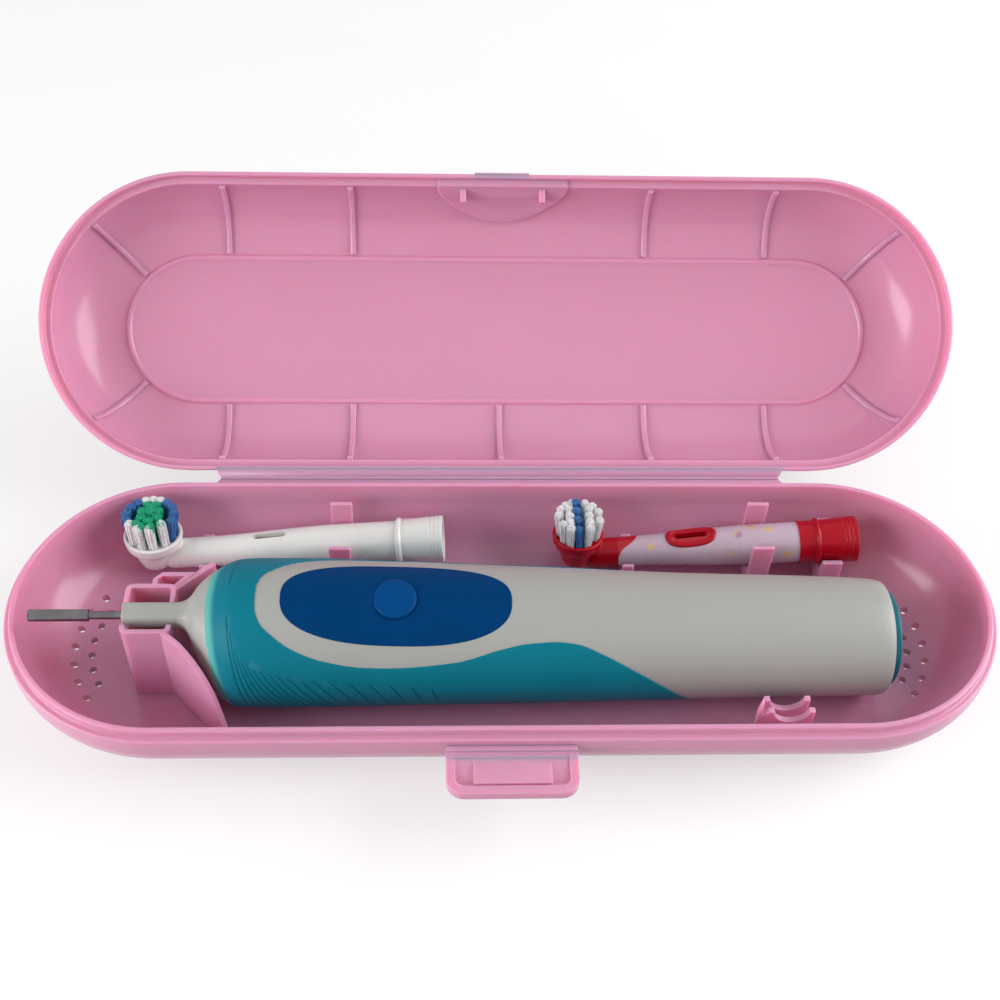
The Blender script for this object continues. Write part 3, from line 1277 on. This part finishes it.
def head_sleeve(head, under_ring, frame):
    """The hollow sleeve, stepped under its end ring, with a slot along its top."""
    name = head.prefix + "_sleeve"
    step = head.length - head.ring_length - FIT_GAP
    outline = [(NECK_END + FIT_GAP, SLEEVE_NECK_RADIUS), (head.clip_place, SLEEVE_RADIUS),
               (step, SLEEVE_RADIUS), (step, under_ring), (head.length, under_ring)]
    sleeve = piece(name, turned_x(name, outline, 20), head.sleeve_finish, frame)
    socket = head.length - SOCKET_LENGTH
    inside = [(NECK_END - OVERRUN, SLEEVE_BORE), (socket, SLEEVE_BORE), (socket, SOCKET_BORE),
              (head.length + OVERRUN, SOCKET_BORE)]
    bore = turned_x(head.prefix + "_sleeve_bore", inside, 16)
    shape_with(sleeve, cutter(head.prefix + "_sleeve_bore", bore, frame), "DIFFERENCE")
    half = WINDOW_WIDTH / 2
    window = block(head.prefix + "_window", (head.window_start, -half, 0),
                   (head.window_start + WINDOW_LENGTH, half, 2 * SLEEVE_RADIUS))
    shape_with(sleeve, cutter(head.prefix + "_window", window, frame), "DIFFERENCE")


def bristles(prefix, disc_radius, low, frame):
    """Tufts of upright strands, grown from a thin slice of the disc."""
    name = prefix + "_bristles"
    top = low + BACKING_THICKNESS
    backing = turned_z(name, [(low, disc_radius), (top, disc_radius)], 24)
    field = piece(name, backing, WHITE, frame)
    work = bmesh.new()
    rings = len(TUFT_RING_COUNTS) - 1
    root = low + BACKING_THICKNESS / 2
    middle = root + (BRISTLE_LENGTH + BACKING_THICKNESS / 2) / 2
    for ring, count in enumerate(TUFT_RING_COUNTS):
        reach = (disc_radius - TUFT_MARGIN) * ring / rings
        for i in range(count):
            turn = 2 * math.pi * i / count
            for strand in range(STRANDS_PER_TUFT):
                spin = turn + 2 * math.pi * strand / STRANDS_PER_TUFT
                x = reach * math.cos(turn) + TUFT_RADIUS * math.cos(spin)
                y = reach * math.sin(turn) + TUFT_RADIUS * math.sin(spin)
                place = Matrix.Translation((x, y, middle)) @ Matrix.Rotation(spin, 4, "Z")
                bmesh.ops.create_cone(work, cap_ends=True, segments=BRISTLE_SIDES,
                                      radius1=BRISTLE_RADIUS, radius2=BRISTLE_RADIUS,
                                      depth=BRISTLE_LENGTH + BACKING_THICKNESS / 2, matrix=place)
    strands = cutter(prefix + "_strands", mesh_of(prefix + "_strands", work), frame)
    shape_with(field, strands, "UNION")


def build():
    """Model the whole case with what it carries."""
    clear_scene()
    base_shell()
    room = room_tool()
    neck_cradle(room)
    front_saddle(room)
    lid_shell(pivot("lid_hinge", (0, HINGE_Y, BASE_HEIGHT), (-LID_OPENING, 0, 0)))
    latch_flap(pivot("latch_hinge", (0, LATCH_Y, LATCH_Z)))
    handle = pivot("handle_frame", (0, HANDLE_Y, HANDLE_Z), (HANDLE_ROLL, 0, 0))
    handle_housing(handle)
    grip_skin(handle)
    panel_skin(handle)
    power_button(handle)
    inner_frame(handle)
    electronics(handle)
    power_parts(handle)
    shaft_place = (0, NECK_SIDE, NECK_RISE)
    drive_shaft(handle, shaft_place)
    rocker_arm(handle, shaft_place)
    motor_crank(handle)
    neck_fittings(handle)
    tail_cap(handle)
    for head in (Head("white", WHITE_HEAD_X, WHITE_HEAD_LENGTH, WHITE_CUP_RADIUS, WHITE_RING_LENGTH,
                      WHITE_BEAD_PLACE, WHITE_WINDOW_START, WHITE_CLIP_PLACE, WHITE, WHITE),
                 Head("red", RED_HEAD_X, RED_HEAD_LENGTH, RED_CUP_RADIUS, RED_RING_LENGTH,
                      RED_BEAD_PLACE, RED_WINDOW_START, RED_CLIP_PLACE, RED, LILAC)):
        brush_head(head)
        head_seats(head, room)


build()
